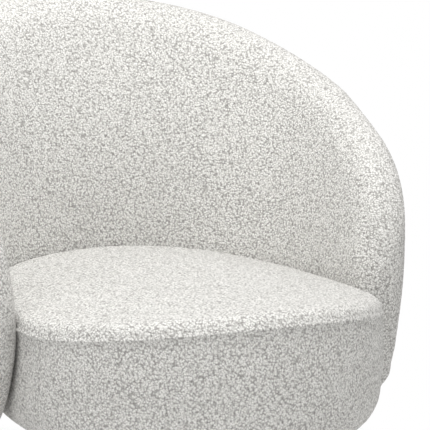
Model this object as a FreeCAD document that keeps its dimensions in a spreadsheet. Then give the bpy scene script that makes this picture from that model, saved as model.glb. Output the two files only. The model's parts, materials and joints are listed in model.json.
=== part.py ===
"""Tub chair: a rounded padded wall round a crowned seat, on four turned wooden legs.

Millimetres, +Z up, the chair faces -Y, the origin is on the floor under the middle of its box.
The seat's outline is eight tangent arcs. The wall is a loft of upright sections along that
outline, from the front of one arm round the back to the front of the other.
"""
import FreeCAD, Part
import math
import os
import Sketcher
from FreeCAD import Placement, Rotation, Vector

UP = Vector(0, 0, 1)

# Driving sizes: alias, value in millimetres (degrees where the note says so), what it sizes
SIZES = [
    ("seat_half_width", 243, "seat outline, half its width at the widest line"),
    ("seat_back_reach", 272, "seat outline, widest line to the back"),
    ("seat_front_reach", 270, "seat outline, widest line to the front"),
    ("side_arc", 620, "seat outline, radius of each side, widest line to the back"),
    ("front_side_arc", 900, "seat outline, radius of each side, widest line to the front"),
    ("back_arc", 415, "seat outline, radius of the back"),
    ("front_arc", 245, "seat outline, radius of the front"),
    ("back_corner", 182, "seat outline, radius of the back corners"),
    ("front_corner", 186, "seat outline, radius of the front corners"),
    ("seat_top", 430, "height of the seat crown"),
    ("crown_across", 940, "radius of the seat crown, side to side"),
    ("crown_along", 7500, "radius of the seat crown, front to back"),
    ("crown_back", 100, "crown peak, behind the widest line"),
    ("seat_roll", 16, "rounding of the seat's upper edge"),
    ("seat_under", 60, "rounding of the seat's lower edge"),
    ("seam_drop", 17, "seam round the seat, below the crown surface"),
    ("body_bottom", 230, "height of the upholstery's underside"),
    ("cover_thick", 3, "cover cloth with its thin wadding"),
    ("fit_gap", 0.3, "clearance between neighbouring pieces"),
    ("wall_gap", 0.5, "clearance between the seat and the wall round it"),
    ("crest_height", 780, "highest point of the back"),
    ("nose_height", 427.5, "height of the foremost point of the arms"),
    ("nose_front", 49, "foremost point of the arms, ahead of the widest line"),
    ("nose_arc", 204, "side view radius of the arm front"),
    ("rim_slope", 33.5, "slope of the rim between arm and back, degrees"),
    ("wall_bottom", 199.5, "height of the wall's underside"),
    ("low_run", 141, "length over which the underside drops behind the nose"),
    ("arm_thick", 73.4, "thickness of the wall at the arms"),
    ("back_thick", 102, "thickness of the wall at the back, upper part"),
    ("low_thick", 98.6, "thickness of the wall at its lower part"),
    ("arm_lean", 11.5, "outward lean of the rim at the arms, degrees"),
    ("back_lean", 19.5, "backward lean of the rim at the back, degrees"),
    ("panel_edge", 52, "seam of the outside cover, in from the rim and the arm front"),
    ("padding_edge", 47, "edge of the outside padding, in from the rim and the arm front"),
    ("inner_foam", 24, "foam on the wall's inner face"),
    ("outer_foam", 12, "padding on the wall's outer face"),
    ("crest_foam", 35, "foam over the rim and the arm fronts"),
    ("under_foam", 15, "foam under the wall's frame"),
    ("liner_thick", 2.4, "board that carries the foam or the padding"),
    ("wall_rail_low", 270, "height of the wall's bottom rail, lower face"),
    ("wall_rail_high", 330, "height of the wall's bottom rail, upper face"),
    ("wall_rail_face", 8, "wall's bottom rail, behind the wall's inner line"),
    ("wall_rail_thick", 32, "thickness of the wall's bottom rail"),
    ("rim_rail_deep", 26, "depth of the rail under the rim"),
    ("rib_thick", 18, "thickness of a rib"),
    ("post_deep", 28, "depth of an arm post, front to back"),
    ("wall_joint", 150, "joint of arm and back pieces, behind the widest line"),
    ("side_rib_station", 150, "side ribs, along the wall from its front"),
    ("corner_rib_station", 265, "corner ribs, along the wall from its front"),
    ("back_rib_station", 385, "back ribs, along the wall from its front"),
    ("topper_thick", 40, "soft foam layer under the seat crown"),
    ("board_thick", 18, "base board"),
    ("board_inset", 48, "base board, in from the seat outline"),
    ("board_round", 6, "base board, in from the seat's rounded lower edge"),
    ("turn_under", 4, "cover turned under the base board, past the rounded edge"),
    ("rail_inset", 45, "seat rails, in from the seat outline"),
    ("rail_thick", 22, "thickness of a seat rail"),
    ("rail_high", 70, "height of a seat rail"),
    ("front_joint", 125, "joint of front and side rails, ahead of the widest line"),
    ("back_joint", 135, "joint of back and side rails, behind the widest line"),
    ("block_long", 60, "corner block, along the side rail"),
    ("block_wide", 36, "corner block, across the chair"),
    ("strap_wide", 55, "width of a webbing strap"),
    ("strap_thick", 2.2, "thickness of a webbing strap"),
    ("strap_pitch", 100, "spacing of the straps"),
    ("strap_lap", 16, "strap end, lying on the rail"),
    ("felt_thick", 3, "felt over the webbing"),
    ("bolt_radius", 4, "shank of a wall bolt"),
    ("bolt_clear", 0.6, "clearance round a wall bolt"),
    ("bolt_height", 300, "height of the wall bolts"),
    ("head_radius", 7, "head of a wall bolt"),
    ("head_thick", 5, "head of a wall bolt"),
    ("washer_radius", 12, "washer under a wall bolt's head"),
    ("washer_thick", 2, "washer under a wall bolt's head"),
    ("spot_face", 2, "flat cut into the curved rails for washers and nuts"),
    ("nut_radius", 11, "flange of a wall nut"),
    ("nut_flange", 1.6, "flange of a wall nut"),
    ("barrel_radius", 5.5, "barrel of a wall nut"),
    ("barrel_long", 12, "barrel of a wall nut"),
    ("thread_clear", 0.15, "clearance of a thread in its hole"),
    ("front_bolt_station", 105, "front wall bolts, along the wall from its front"),
    ("corner_bolt_station", 290, "corner wall bolts, along the wall from its front"),
    ("spacer_wide", 56, "spacer block between seat rail and wall"),
    ("spacer_low", 262, "spacer block, lower face"),
    ("leg_out", 108, "leg tops, to each side of the middle"),
    ("leg_front", 128, "front leg tops, ahead of the widest line"),
    ("leg_back", 130, "back leg tops, behind the widest line"),
    ("leg_splay", 15, "splay of the legs, outward along the diagonal, degrees"),
    ("leg_top_radius", 22, "leg, top"),
    ("leg_foot_radius", 13, "leg, foot"),
    ("glide_radius", 11, "glide under a leg"),
    ("glide_high", 6, "glide under a leg, below the wood"),
    ("glide_pin", 3, "glide's pin, radius"),
    ("glide_pin_long", 14, "glide's pin, length in the leg"),
    ("dust_thick", 1, "dust cloth under the seat"),
    ("dust_lap", 2, "dust cloth, over the turned under cover"),
    ("plate_radius", 26, "leg plate"),
    ("plate_thick", 2.7, "leg plate"),
    ("boss_radius", 8, "threaded boss of a leg plate"),
    ("boss_high", 12, "threaded boss of a leg plate, above the plate"),
    ("stud_radius", 4, "stud between leg and plate"),
    ("stud_in_leg", 38, "stud, length in the leg"),
    ("screw_radius", 2, "plate screw, shank"),
    ("screw_long", 14, "plate screw, length above the plate"),
    ("screw_head_radius", 3.8, "plate screw, countersunk head"),
    ("screw_head_high", 1.8, "plate screw, countersunk head"),
    ("screw_ring", 17, "plate screws, from the leg plate's middle"),
]

doc = FreeCAD.newDocument("tub_chair")
sheet = doc.addObject("Spreadsheet::Sheet", "sizes")
for row, (alias, value, note) in enumerate(SIZES, start=1):
    sheet.set("A%d" % row, note)
    sheet.set("B%d" % row, str(value))
    sheet.setAlias("B%d" % row, alias)
doc.recompute()


class Sizes:
    """The sheet's values, by alias."""

    def __getattr__(self, alias):
        return float(sheet.get(alias))


S = Sizes()


# Plan outline: four quarters of three tangent arcs each

class Quarter:
    """Side, corner and end arc of one quarter of the seat's outline, for x > 0 and y > 0."""

    def __init__(self, half_width, reach, side, corner, end):
        self.side, self.corner, self.end = side, corner, end
        self.side_centre = Vector(half_width - side, 0, 0)
        self.end_centre = Vector(0, reach - end, 0)
        between = self.end_centre - self.side_centre
        span = between.Length
        along = (span ** 2 + (side - corner) ** 2 - (end - corner) ** 2) / (2 * span)
        across = math.sqrt((side - corner) ** 2 - along ** 2)
        unit = between / span
        square = Vector(-unit.y, unit.x, 0) * across
        foot = self.side_centre + unit * along
        self.corner_centre = max(foot + square, foot - square, key=lambda spot: spot.x + spot.y)
        from_side = self.corner_centre - self.side_centre
        from_end = self.corner_centre - self.end_centre
        self.side_turn = math.atan2(from_side.y, from_side.x)
        self.end_turn = math.atan2(from_end.y, from_end.x)


def quarters():
    half = S.seat_half_width
    back = Quarter(half, S.seat_back_reach, S.side_arc, S.back_corner, S.back_arc)
    front = Quarter(half, S.seat_front_reach, S.front_side_arc, S.front_corner, S.front_arc)
    return back, front


def heading(angle):
    return Vector(math.cos(angle), math.sin(angle), 0)


def plan_arc(centre, radius, start, stop, mirror_x, mirror_y, height):
    points = []
    for angle in (start, (start + stop) / 2, stop):
        point = centre + heading(angle) * radius
        points.append(Vector(point.x * mirror_x, point.y * mirror_y, height))
    return Part.Arc(*points).toShape()


def outline(inset, height):
    """The seat's outline drawn in by an inset, as one closed wire at a height."""
    back, front = quarters()
    edges = []
    for mirror_x in (1, -1):
        for quarter, mirror_y in ((back, 1), (front, -1)):
            edges.append(plan_arc(quarter.side_centre, quarter.side - inset, 0,
                                  quarter.side_turn, mirror_x, mirror_y, height))
            edges.append(plan_arc(quarter.corner_centre, quarter.corner - inset,
                                  quarter.side_turn, quarter.end_turn, mirror_x, mirror_y, height))
    for quarter, mirror_y in ((back, 1), (front, -1)):
        edges.append(plan_arc(quarter.end_centre, quarter.end - inset, quarter.end_turn,
                              math.pi - quarter.end_turn, 1, mirror_y, height))
    return Part.Wire(Part.__sortEdges__(edges))


def prism(inset, low, high):
    """The outline's upright prism between two heights."""
    return Part.Face(outline(inset, low)).extrude(UP * (high - low))


# Seat block: the outline's prism under the crown, with rolled edges

def crown(drop):
    """Solid whose upper surface is the seat's crown, lowered by a drop."""
    centre = Vector(0, S.crown_back, S.seat_top - S.crown_along)
    swing = S.crown_along - S.crown_across
    return Part.makeTorus(swing, S.crown_across - drop, centre, Vector(1, 0, 0))


def seat_block(inset):
    """The whole upholstered seat, drawn in by an inset on every side."""
    low = S.body_bottom + inset
    block = prism(inset, low, S.seat_top).common(crown(inset))
    lower = [face for face in block.Faces if isinstance(face.Surface, Part.Plane)]
    block = block.makeFillet(S.seat_under - inset, lower[0].OuterWire.Edges)
    upper = max(block.Faces, key=lambda face: face.CenterOfMass.z)
    return block.makeFillet(S.seat_roll - inset, upper.OuterWire.Edges)


# Wall: upright sections along the outline

class WallLine:
    """The wall's inner line in plan; stations run from the arm's foremost point to the back."""

    def __init__(self):
        back, front = quarters()
        self.quarter = back
        self.half_width = S.seat_half_width + S.wall_gap
        self.side = back.side + S.wall_gap
        self.corner = back.corner + S.wall_gap
        self.end = back.end + S.wall_gap
        self.run_side = S.nose_front + self.side * back.side_turn
        self.run_corner = self.run_side + self.corner * (back.end_turn - back.side_turn)
        self.length = self.run_corner + self.end * (math.pi / 2 - back.end_turn)

    def at(self, station):
        """Point on the line and the outward direction there."""
        quarter = self.quarter
        if station <= S.nose_front:
            return Vector(self.half_width, station - S.nose_front, 0), Vector(1, 0, 0)
        if station <= self.run_side:
            out = heading((station - S.nose_front) / self.side)
            return quarter.side_centre + out * self.side, out
        if station <= self.run_corner:
            out = heading(quarter.side_turn + (station - self.run_side) / self.corner)
            return quarter.corner_centre + out * self.corner, out
        out = heading(quarter.end_turn + (station - self.run_corner) / self.end)
        return quarter.end_centre + out * self.end, out


def rim(station, length, inset):
    """Height and slope of the rim: arm front arc, straight slope, crest arc."""
    slope = math.radians(S.rim_slope)
    rise = math.cos(slope)
    lean = math.sin(slope)
    run_left = length - S.nose_arc * (1 - lean)
    rise_left = S.crest_height - S.nose_height - S.nose_arc * rise
    crest_arc = (rise * rise_left - lean * run_left) / (rise * (1 - rise) - lean ** 2)
    crest_start = length - crest_arc * lean
    arm_end = S.nose_arc * (1 - lean)
    shift = inset * lean
    if station <= arm_end + shift:
        run = S.nose_arc - station
        high = math.sqrt((S.nose_arc - inset) ** 2 - run ** 2)
        return S.nose_height + high, run / high
    if station >= crest_start + shift:
        run = length - station
        high = math.sqrt((crest_arc - inset) ** 2 - run ** 2)
        return S.crest_height - crest_arc + high, run / high
    past = station - arm_end - shift
    return S.nose_height + (S.nose_arc - inset) * rise + past * math.tan(slope), math.tan(slope)


def underside(station, inset):
    """Height of the wall's underside, which drops behind the arm's foremost point."""
    drop = S.nose_height - S.wall_bottom - inset
    left = max(S.low_run - station, 0) / (S.low_run - inset)
    return S.nose_height - drop * math.sqrt(1 - left ** 2)


def ease(value):
    value = min(max(value, 0.0), 1.0)
    return value * value * (3 - 2 * value)


INNER_LOW = 0.566     # share of the arm front's drop where the inner face starts, above the underside
INNER_SEAT = 0.65     # the same for the end of the inner face's upright stretch
OUTER_LOW = 0.449     # the same for the outer face
CAP_LIMIT = 0.9       # most of the height over the nose that the rounded rim takes
LOW_POINT = 0.595     # share of the thickness where the underside is lowest
FACE_BOW = 4          # bow of the outer face, degrees
THICKEN_FROM = 150    # station where the wall starts to thicken towards the back
LEAST_CAP = 4         # least half width that shapes the rounded rim of an inner piece


def section_nodes(station, length, inner, outer, edge, under):
    """Points and headings (outward, up) round one section, clockwise from its top.

    The section is drawn in by four insets: at its inner face, at its outer face, at the rim and
    the arm front, and at the underside. Neither face depends on the other face's inset.
    """
    top, slope = rim(station, length, edge)
    low = underside(station, under)
    drop = S.nose_height - low
    nose = S.arm_thick / 2
    grow = ease((station - THICKEN_FROM) / (length - THICKEN_FROM))
    if station < nose:
        half_top = math.sqrt((nose - edge) ** 2 - (nose - station) ** 2)
        half_cap = half_top
        half_low = half_top
        middle_low = nose
    else:
        thick = S.arm_thick + (S.back_thick - S.arm_thick) * grow
        half_top = (thick - inner - outer) / 2
        half_cap = max(thick / 2 - edge, LEAST_CAP)
        swell = ease((station - nose) / (S.low_run - nose))
        half_low = (S.arm_thick + (S.low_thick - S.arm_thick) * swell - inner - outer) / 2
        middle_low = half_low + inner
    lean = math.radians(S.arm_lean + (S.back_lean - S.arm_lean) * ease(station / length))
    cap = min(half_cap * math.hypot(1, slope), CAP_LIMIT * (top - S.nose_height))
    shoulder = top - cap
    seat_level = low + INNER_SEAT * drop
    inner_low = middle_low - half_low
    outer_low = middle_low + half_low
    inner_top = inner_low + max(shoulder - seat_level, 0) * math.tan(lean / 2)
    outer_top = inner_top + 2 * half_top
    outer_level = low + OUTER_LOW * drop
    flare = math.atan2(outer_top - outer_low, shoulder - outer_level)
    bow = min(math.radians(FACE_BOW), lean / 2)
    ridge = (inner_top + outer_top) / 2 + cap * math.sin(lean) / 2
    return [
        ((ridge, top), (1, 0)),
        ((outer_top, shoulder), (-math.sin(flare - bow), -math.cos(flare - bow))),
        ((outer_low, outer_level), (-math.sin(flare + bow), -math.cos(flare + bow))),
        ((inner_low + 2 * half_low * LOW_POINT, low), (-1, 0)),
        ((inner_low, low + INNER_LOW * drop), (0, 1)),
        ((inner_low, seat_level), (0, 1)),
        ((inner_top, shoulder), (math.sin(lean), math.cos(lean))),
    ]


def biarc(start, start_way, end, end_way):
    """Two arcs from start to end, tangent to both headings: the middle points and the joint."""
    across = (end[0] - start[0], end[1] - start[1])
    ways = (start_way[0] + end_way[0], start_way[1] + end_way[1])
    square = 2 * (1 - start_way[0] * end_way[0] - start_way[1] * end_way[1])
    single = 2 * (across[0] * ways[0] + across[1] * ways[1])
    constant = -(across[0] ** 2 + across[1] ** 2)
    reach = (-single + math.sqrt(single ** 2 - 4 * square * constant)) / (2 * square)
    first = (start[0] + reach * start_way[0], start[1] + reach * start_way[1])
    second = (end[0] - reach * end_way[0], end[1] - reach * end_way[1])
    joint = ((first[0] + second[0]) / 2, (first[1] + second[1]) / 2)
    joint_way = ((second[0] - first[0]) / (2 * reach), (second[1] - first[1]) / (2 * reach))
    return arc_middle(start, start_way, joint), joint, arc_middle(joint, joint_way, end)


def arc_middle(start, way, end):
    """The point halfway along the arc that leaves start on a heading and ends at end."""
    chord = (end[0] - start[0], end[1] - start[1])
    turn = math.atan2(way[0] * chord[1] - way[1] * chord[0], way[0] * chord[0] + way[1] * chord[1])
    rise = math.tan(turn / 2) / 2
    return ((start[0] + end[0]) / 2 + chord[1] * rise, (start[1] + end[1]) / 2 - chord[0] * rise)


def section_wire(nodes, point, out, side):
    """The section's arcs as a closed wire, upright along the outward direction."""

    def place(flat):
        spot = point + out * flat[0]
        return Vector(spot.x * side, spot.y, flat[1])

    edges = []
    for (start, start_way), (end, end_way) in zip(nodes, nodes[1:] + nodes[:1]):
        if start_way == end_way:      # an upright stretch, or a section of straight sides
            edges.append(Part.LineSegment(place(start), place(end)).toShape())
            continue
        middle, joint, second = biarc(start, start_way, end, end_way)
        edges.append(Part.Arc(place(start), place(middle), place(joint)).toShape())
        edges.append(Part.Arc(place(joint), place(second), place(end)).toShape())
    return Part.Wire(edges)


NOSE_STATIONS = (0.6, 2.5, 6.5, 13, 23, 35)      # past the arm's foremost point
EDGE_STATIONS = (0.6, 4, 10, 20)                  # past the front edge of an inner piece
WALL_STATIONS = (50, 70, 95, 125, 160, 200, 240, 285, 330, 375, 420)
LEAST_STEP = 8        # least distance from the stations at the front to the next one
LAST_STEP = 20        # the same from the last one to the middle of the back
TOOL_REACH = 200      # how far a cutting shape reaches past the wall
TOOL_BELOW = 60       # the same, below the wall and inside it
FAR = 900             # beyond every piece


def wall_loft(first_stations, draw):
    """Loft of the sections that draw(station, length) gives, from one arm front to the other."""
    line = WallLine()
    start = first_stations[-1] + LEAST_STEP
    stop = line.length - LAST_STEP
    stations = first_stations + [station for station in WALL_STATIONS if start < station < stop]
    right = []
    left = []
    for station in stations:
        point, out = line.at(station)
        nodes = draw(station, line.length)
        right.append(section_wire(nodes, point, out, 1))
        left.append(section_wire(nodes, point, out, -1))
    point, out = line.at(line.length)
    middle = section_wire(draw(line.length, line.length), point, out, 1)
    return Part.makeLoft(right + [middle] + left[::-1], True, False)


def wall_solid(inset):
    """The whole upholstered wall, drawn in by an inset on every side."""

    def draw(station, length):
        return section_nodes(station, length, inset, inset, inset, inset)

    return wall_loft([inset + step for step in NOSE_STATIONS], draw)


def wall_zone(inner, outer, edge, under):
    """The part of the wall behind given depths at its inner face, outer face, rim and underside."""

    def draw(station, length):
        return section_nodes(station, length, inner, outer, edge, under)

    first = max(edge, S.arm_thick / 2)
    return wall_loft([first + step for step in EDGE_STATIONS], draw)


def outside_tool(edge):
    """The space outside the wall's middle, under its rim by an edge, and down past the floor side."""

    def draw(station, length):
        nodes = section_nodes(station, length, 0, 0, 0, 0)
        top = rim(station, length, edge)[0]
        middle = (nodes[1][0][0] + nodes[6][0][0]) / 2
        corners = [
            (middle, top),
            (middle + TOOL_REACH, top),
            (middle + TOOL_REACH, S.wall_bottom - TOOL_BELOW),
            (nodes[3][0][0], S.wall_bottom - TOOL_BELOW),
        ]
        return straight_nodes(corners)

    return wall_loft([edge + step for step in EDGE_STATIONS], draw)


def under_rim(edge):
    """The space under the rim by an edge, right across the wall."""

    def draw(station, length):
        top = rim(station, length, edge)[0]
        corners = [
            (-TOOL_BELOW, top),
            (TOOL_REACH, top),
            (TOOL_REACH, S.wall_bottom - TOOL_BELOW),
            (-TOOL_BELOW, S.wall_bottom - TOOL_BELOW),
        ]
        return straight_nodes(corners)

    return wall_loft([edge + step for step in EDGE_STATIONS], draw)


def straight_nodes(corners):
    """Corners alone, for a section of straight sides."""
    return [(corner, None) for corner in corners]


def slab(low, high):
    """A level slab, wider than the chair."""
    return Part.makeBox(2 * FAR, 2 * FAR, high - low, Vector(-FAR, -FAR, low))


def behind(front):
    """Everything behind a plane across the chair."""
    return Part.makeBox(2 * FAR, FAR, 2 * FAR, Vector(-FAR, front, 0))


def ahead(back):
    """Everything ahead of a plane across the chair."""
    return Part.makeBox(2 * FAR, FAR, 2 * FAR, Vector(-FAR, back - FAR, 0))


def side_of(side):
    """Everything to one side of the chair's middle."""
    return Part.makeBox(FAR, 2 * FAR, 2 * FAR, Vector(0 if side > 0 else -FAR, -FAR, 0))


def across_wall(station, side, inward, outward, width, low, high):
    """A box square to the wall at a station, from inward of its inner line to outward of it."""
    point, out = WallLine().at(station)
    box = Part.makeBox(inward + outward, width, high - low, Vector(-inward, -width / 2, low))
    turn = math.degrees(math.atan2(out.y, out.x * side))
    box.Placement = Placement(Vector(point.x * side, point.y, 0), Rotation(UP, turn))
    return box


def bolt_way(station, side):
    """Placement whose Z runs outward along a wall bolt, from the wall's inner line."""
    point, out = WallLine().at(station)
    base = Vector(point.x * side, point.y, S.bolt_height)
    return Placement(base, Rotation(UP, Vector(out.x * side, out.y, 0)))


def along_bolt(way, radius, start, stop):
    """A cylinder round a bolt's axis, between two distances outward of the wall's inner line."""
    rod = Part.makeCylinder(radius, stop - start, Vector(0, 0, start))
    rod.Placement = way
    return rod


# Pieces: every one is placed with the chair's middle over the origin

whole_wall = wall_solid(0)
wall_box = whole_wall.optimalBoundingBox()
plan_shift = (S.seat_front_reach - wall_box.YMax) / 2
shift_row = len(SIZES) + 1
sheet.set("A%d" % shift_row, "widest line, from the origin; worked out from the outlines")
sheet.set("B%d" % shift_row, str(round(plan_shift, 3)))
sheet.setAlias("B%d" % shift_row, "plan_shift")
doc.recompute()

pieces = []


def piece(label, shape):
    """A sub-part whose shape comes from the outline and section functions."""
    solids = shape.Solids
    thing = doc.addObject("Part::Feature", label)
    thing.Label = label
    thing.Shape = solids[0] if len(solids) == 1 else Part.makeCompound(solids)
    thing.setExpression("Placement.Base.y", "sizes.plan_shift")
    pieces.append(thing)
    return thing


def primitive(kind, sizes, place, name="shape"):
    """A Part primitive whose sizes are expressions of the sheet's aliases."""
    thing = doc.addObject("Part::" + kind, name)
    for prop, expression in sizes.items():
        thing.setExpression(prop, expression)
    thing.Placement = Placement(Vector(0, S.plan_shift, 0), Rotation()).multiply(place)
    return thing


def cylinder(radius, height, place):
    return primitive("Cylinder", {"Radius": radius, "Height": height}, place)


def join(shapes):
    thing = doc.addObject("Part::MultiFuse", "joined")
    thing.Shapes = shapes
    return thing


def cut(base, tool):
    thing = doc.addObject("Part::Cut", "cut")
    thing.Base = base
    thing.Tool = tool
    return thing


def group(label, members):
    """Identical loose pieces that share one node."""
    thing = doc.addObject("Part::Compound", label)
    thing.Label = label
    thing.Links = members
    pieces.append(thing)
    return thing


gap = S.fit_gap
foam_start = S.cover_thick + gap
rim_depth = foam_start + S.crest_foam
under_depth = foam_start + S.under_foam

# Wall bolts first, because every layer they pass needs its hole

wall_bolts = [(S.front_bolt_station, 1), (S.front_bolt_station, -1),
              (S.corner_bolt_station, 1), (S.corner_bolt_station, -1), (WallLine().length, 1)]
bolt_ways = [bolt_way(station, side) for station, side in wall_bolts]
rail_inner = -(S.wall_gap + S.rail_inset + S.rail_thick)
washer_seat = rail_inner + S.spot_face
head_seat = washer_seat - S.washer_thick
nut_seat = S.wall_rail_face + S.wall_rail_thick - S.spot_face


def bolt_holes():
    """Every cut that a wall bolt, its washer and its nut need, as one shape."""
    cuts = []
    for way in bolt_ways:
        shank = S.bolt_radius + S.bolt_clear
        cuts.append(along_bolt(way, shank, rail_inner - S.head_thick, nut_seat))
        cuts.append(along_bolt(way, S.washer_radius + 2 * gap, rail_inner - S.head_thick, washer_seat))
        cuts.append(along_bolt(way, S.barrel_radius + gap, nut_seat - S.barrel_long - gap, nut_seat))
        cuts.append(along_bolt(way, S.nut_radius + 2 * gap, nut_seat, nut_seat + S.head_thick))
    return cuts


holes = bolt_holes()


def make_wall_covers():
    skin = whole_wall.cut(wall_solid(S.cover_thick)).cut(holes)
    outside = outside_tool(S.panel_edge)
    piece("wall_inside_cover", skin.cut(outside))
    piece("wall_outside_cover", skin.common(outside))


RAIL_SPACE_SHY = 3    # how far the rail's space in the foam stops short of the boards' space


def make_wall_foam():
    face = foam_start + S.inner_foam
    back = foam_start + S.outer_foam
    hollow = wall_zone(face, back, rim_depth, under_depth)
    hollow = hollow.common(slab(S.wall_rail_low - gap, FAR))
    rail_space = wall_zone(S.wall_rail_face - gap, back + RAIL_SPACE_SHY, rim_depth, under_depth)
    rail_space = rail_space.common(slab(S.wall_rail_low - gap, S.wall_rail_high + gap))
    foam = wall_solid(foam_start).cut(hollow.fuse(rail_space)).cut(holes)
    outside = outside_tool(S.padding_edge)
    piece("wall_outside_padding", foam.common(outside))
    inside = foam.cut(outside)
    piece("back_foam", inside.common(behind(S.wall_joint)))
    arms = inside.common(ahead(S.wall_joint))
    piece("arm_foam_left", arms.common(side_of(-1)))
    piece("arm_foam_right", arms.common(side_of(1)))


BOARD_PAST = 2        # how far the space between the boards runs past their rim and underside


def make_wall_boards():
    face = foam_start + S.inner_foam + gap
    back = foam_start + S.outer_foam + gap
    edge = rim_depth + gap
    under = under_depth + gap
    between = wall_zone(face + S.liner_thick, back + S.liner_thick, edge - BOARD_PAST, under - BOARD_PAST)
    boards = wall_zone(face, back, edge, under).cut(between)
    boards = boards.common(under_rim(edge + S.rim_rail_deep / 2))
    outside = outside_tool(0)
    piece("inner_liner_board", boards.cut(outside).common(slab(S.wall_rail_high + gap, FAR)))
    piece("outer_liner_board", boards.common(outside).common(slab(S.wall_rail_low + gap, FAR)))


def make_wall_frame():
    face = foam_start + S.inner_foam + S.liner_thick + 2 * gap
    back = foam_start + S.outer_foam + S.liner_thick + 2 * gap
    edge = rim_depth + gap
    under = under_depth + gap
    zone = wall_zone(face, back, edge, under)
    post_back = edge + S.post_deep - S.nose_front
    posts = zone.common(ahead(post_back)).common(slab(S.wall_rail_low, FAR))
    rest = zone.common(behind(post_back + gap))
    rim_rail = rest.cut(under_rim(edge + S.rim_rail_deep)).common(slab(S.nose_height, FAR))
    rail_start = -(S.wall_gap + S.wall_rail_face)
    band = prism(rail_start - S.wall_rail_thick, S.wall_rail_low, S.wall_rail_high)
    band = band.cut(prism(rail_start, 0, FAR)).common(behind(post_back + gap))
    rail_zone = wall_zone(S.wall_rail_face, foam_start + S.outer_foam + gap, edge, under)
    band = band.common(rail_zone).cut(holes)
    for label, ring in (("rim_rail", rim_rail), ("wall_rail", band)):
        piece(label + "_back", ring.common(behind(S.wall_joint)))
        for side, name in ((-1, "left"), (1, "right")):
            arm = ring.common(ahead(S.wall_joint)).common(side_of(side))
            piece(label + "_" + name, arm)
    for side, name in ((-1, "left"), (1, "right")):
        piece("arm_post_" + name, posts.common(side_of(side)))
    room = rest.common(under_rim(edge + S.rim_rail_deep + gap))
    line = WallLine()
    ribs = [("side_rib", S.side_rib_station), ("corner_rib", S.corner_rib_station),
            ("back_rib", S.back_rib_station)]
    for label, station in ribs:
        for side, name in ((-1, "left"), (1, "right")):
            piece(label + "_" + name, rib(room, station, side))
    piece("middle_rib", rib(room, line.length, 1))


def rib(room, station, side):
    """An upright board square to the wall, from the bottom rail to the rim rail."""
    board = across_wall(station, side, 0, TOOL_REACH, S.rib_thick, S.wall_rail_high, FAR)
    return room.common(board)


make_wall_covers()
make_wall_foam()
make_wall_boards()
make_wall_frame()

# Seat

board_low = S.body_bottom + S.cover_thick + gap
board_high = board_low + S.board_thick
rail_low = board_high
rail_high = rail_low + S.rail_high
strap_low = rail_high
strap_high = strap_low + 2 * S.strap_thick + gap
felt_low = strap_high + gap
felt_high = felt_low + S.felt_thick
opening_inset = S.seat_under + S.turn_under


def make_seat_covers():
    skin = seat_block(0).cut(seat_block(S.cover_thick)).cut(holes)
    skin = skin.cut(prism(opening_inset, 0, board_high))
    below_seam = crown(S.seam_drop)
    piece("seat_top_cover", skin.cut(below_seam))
    piece("seat_band_cover", skin.common(below_seam))


def make_seat_foam():
    inside = seat_block(foam_start)
    topper = inside.cut(crown(foam_start + S.topper_thick))
    piece("seat_topper_foam", topper)
    lower = inside.common(crown(foam_start + S.topper_thick + gap))
    piece("seat_core_foam", lower.common(slab(felt_high + gap, FAR)))
    ring = lower.common(slab(0, felt_high))
    ring = ring.cut(prism(S.rail_inset - gap, board_high, FAR))
    board_room = prism(S.board_inset - gap, 0, board_high + gap)
    board_room = board_room.common(seat_block(S.board_round - gap))
    ring = ring.cut(board_room).cut(prism(opening_inset, 0, board_high)).cut(holes)
    width = S.spacer_wide + 2 * gap
    low = S.spacer_low - gap
    high = rail_high + gap
    for station, side in wall_bolts:
        ring = ring.cut(across_wall(station, side, TOOL_BELOW, gap, width, low, high))
    piece("seat_edge_foam", ring)


def make_spacers():
    ring = seat_block(foam_start + gap).cut(prism(S.rail_inset, 0, FAR)).cut(holes)
    blocks = []
    for station, side in wall_bolts:
        box = across_wall(station, side, TOOL_BELOW, 0, S.spacer_wide, S.spacer_low, rail_high)
        blocks.append(ring.common(box))
    piece("spacer_blocks", Part.makeCompound(blocks))


def make_seat_frame():
    board = prism(S.board_inset, board_low, board_high).common(seat_block(S.board_round))
    ring = prism(S.rail_inset, rail_low, rail_high)
    ring = ring.cut(prism(S.rail_inset + S.rail_thick, 0, FAR)).cut(holes)
    piece("front_rail", ring.common(ahead(-S.front_joint)))
    piece("back_rail", ring.common(behind(S.back_joint)))
    sides = ring.common(behind(-S.front_joint)).common(ahead(S.back_joint))
    piece("side_rail_left", sides.common(side_of(-1)))
    piece("side_rail_right", sides.common(side_of(1)))
    room = prism(S.rail_inset + S.rail_thick + gap, rail_low, rail_high)
    blocks = []
    for side in (-1, 1):
        for joint in (-S.front_joint, S.back_joint):
            blocks.append(corner_block(room, side, joint))
    piece("corner_blocks", Part.makeCompound(blocks).cut(holes))
    return board


def corner_block(room, side, joint):
    """A block glued behind a rail joint."""
    reach = S.seat_half_width - S.rail_inset - S.rail_thick
    start = reach - S.block_wide if side > 0 else -reach
    low = Vector(start, joint - S.block_long / 2, rail_low)
    return room.common(Part.makeBox(S.block_wide, S.block_long, S.rail_high, low))


def make_webbing():
    room = prism(S.rail_inset + S.rail_thick - S.strap_lap, strap_low, strap_high)
    reach = FAR / 2
    lengthwise = []
    crosswise = []
    upper = strap_low + S.strap_thick + gap
    for count in (-1, 0, 1):
        start = count * S.strap_pitch - S.strap_wide / 2
        along = Part.makeBox(S.strap_wide, 2 * reach, S.strap_thick, Vector(start, -reach, strap_low))
        across = Part.makeBox(2 * reach, S.strap_wide, S.strap_thick, Vector(-reach, start, upper))
        lengthwise.append(room.common(along))
        crosswise.append(room.common(across))
    piece("webbing_lengthwise", Part.makeCompound(lengthwise))
    piece("webbing_crosswise", Part.makeCompound(crosswise))
    piece("deck_felt", prism(S.rail_inset, felt_low, felt_high))


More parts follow.
